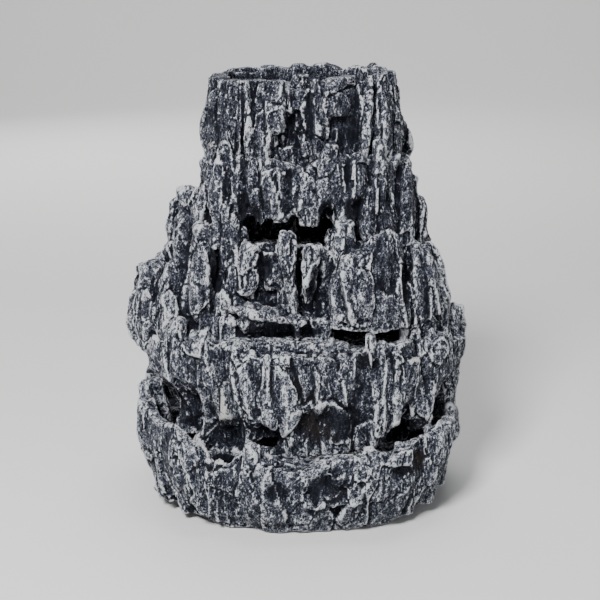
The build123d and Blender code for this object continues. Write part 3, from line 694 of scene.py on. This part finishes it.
casting("summit_rock", SUMMIT_CRAGS, 13, 1.0,
        dict(count=34, low=241, high=292, lift=(-1, 3), bridge=6, clear=[CAVES]),
        dents=SUMMIT_DENTS, ceiling=(293, 298))
casting("rear_hatch", [], 17, 1.2, body="rear_hatch", calm=HATCH_INSIDE)

# ------------------------------------------------------------------ pump and fittings
rubber = moulded("soft_rubber", (0.012, 0.012, 0.013), (0.03, 0.03, 0.032), 0.6)
pump_black = moulded("pump_black", (0.014, 0.015, 0.017), (0.026, 0.027, 0.03), 0.42, 1300, 0.2)
dial_grey = moulded("dial_grey", (0.06, 0.064, 0.07), (0.09, 0.095, 0.1), 0.35, 1300, 0.12)
potting = moulded("potting_resin", (0.01, 0.01, 0.012), (0.02, 0.02, 0.022), 0.2, 300, 0.05)
nylon = moulded("natural_nylon", (0.62, 0.6, 0.52), (0.74, 0.72, 0.64), 0.45)
ceramic = moulded("ground_ceramic", (0.72, 0.71, 0.68), (0.82, 0.81, 0.78), 0.25, 1800, 0.05)
ferrite = moulded("sintered_ferrite", (0.03, 0.03, 0.032), (0.055, 0.055, 0.058), 0.5, 1500, 0.3)
white_plastic = moulded("impeller_white", (0.68, 0.69, 0.7), (0.78, 0.79, 0.8), 0.3, 1000, 0.06)
steel = metal("spring_steel", (0.42, 0.42, 0.43), (0.6, 0.6, 0.61), 0.25, (1, 1, 0.1))
laminations = metal("laminations", (0.2, 0.2, 0.21), (0.5, 0.5, 0.51), 0.4, (0.05, 0.05, 6))
copper = metal("copper_wire", (0.45, 0.16, 0.06), (0.8, 0.36, 0.17), 0.25, (0.05, 3, 0.05))
hose = milky_vinyl()

FINISHES = {
    "foot_pads": rubber, "cable_grommet": rubber, "suction_feet": rubber, "nozzle_o_ring": rubber,
    "cable_gland": rubber, "rear_shaft_bush": rubber, "front_shaft_bush": rubber,
    "pump_housing": pump_black, "impeller_cover": pump_black, "strainer_cover": pump_black,
    "outlet_nozzle": pump_black, "flow_dial": dial_grey, "top_spout": dial_grey,
    "motor_seal": potting, "stator_core": laminations, "coil_bobbin": nylon, "coil_winding": copper,
    "rotor_shaft": ceramic, "rotor_magnet": ferrite, "impeller": white_plastic,
    "riser_hose": hose, "hose_clip": steel,
}
for node, material in FINISHES.items():
    part = nodes[node]
    part.data.materials.clear()
    part.data.materials.append(material)

# ------------------------------------------------------------------ stage
CAMERA_AT = (0, -0.816, 0.402)
CAMERA_DROP = math.radians(17.9)      # how far the camera looks down
LENS = 73.9                           # mm, on a 36 mm sensor


def studio_room():
    """Pale floor that curves up into a round wall."""
    flat, curve, height = 1.8, 1.4, 3.4  # floor's radius, bend's radius, wall's height
    steps, sides = 12, 96
    profile = [(1.0, 0.0), (1.4, 0.0)]
    for step in range(steps + 1):
        angle = math.pi / 2 * step / steps
        profile.append((flat + curve * math.sin(angle), curve - curve * math.cos(angle)))
    profile.append((flat + curve, height))
    bm = bmesh.new()
    rows = []
    for radius, z in profile:
        angles = (2 * math.pi * step / sides for step in range(sides))
        rows.append([bm.verts.new((radius * math.cos(angle), radius * math.sin(angle), z))
                     for angle in angles])
    bm.faces.new(rows[0])
    for low, high in zip(rows, rows[1:]):
        for i in range(sides):
            j = (i + 1) % sides
            bm.faces.new((low[j], low[i], high[i], high[j]))
    mesh = bpy.data.meshes.new("studio_room")
    bm.to_mesh(mesh)
    bm.free()
    room = bpy.data.objects.new("studio_room", mesh)
    bpy.context.scene.collection.objects.link(room)
    room.data.materials.append(stage_material("studio_paper", (0.62, 0.62, 0.61)))
    for face in room.data.polygons:
        face.use_smooth = True


def lamp(name, place, aim, size, power, color=(1, 1, 1)):
    """Soft square lamp that points at a spot."""
    light = bpy.data.lights.new(name, "AREA")
    light.shape = "SQUARE"
    light.size = size
    light.energy = power
    light.color = color
    item = bpy.data.objects.new(name, light)
    bpy.context.scene.collection.objects.link(item)
    item.location = place
    item.rotation_euler = (Vector(aim) - Vector(place)).to_track_quat("-Z", "Y").to_euler()


studio_room()
lamp("key", (-0.42, -0.95, 1.15), (0, 0, 0.15), 0.35, 40)
lamp("fill", (1.0, -0.9, 0.5), (0, 0, 0.15), 0.9, 3.5, (0.92, 0.96, 1.0))
lamp("top", (0.1, 0.25, 1.4), (0, 0, 0.15), 0.6, 9)
lamp("back", (-0.6, 1.3, 0.7), (0, 0, 0.15), 0.8, 7)
lamp("wall", (0, 1.0, 1.5), (0, 3.2, 0.7), 1.2, 38)

world = bpy.data.worlds.new("studio")
world.use_nodes = True
glow = world.node_tree.nodes["Background"].inputs
glow["Color"].default_value = (0.8, 0.85, 0.92, 1)
glow["Strength"].default_value = 0.22
bpy.context.scene.world = world

view = bpy.data.cameras.new("camera")
view.lens = LENS
view.sensor_width = 36.0
camera = bpy.data.objects.new("camera", view)
bpy.context.scene.collection.objects.link(camera)
camera.location = CAMERA_AT
camera.rotation_euler = (math.pi / 2 - CAMERA_DROP, 0, 0)
bpy.context.scene.camera = camera
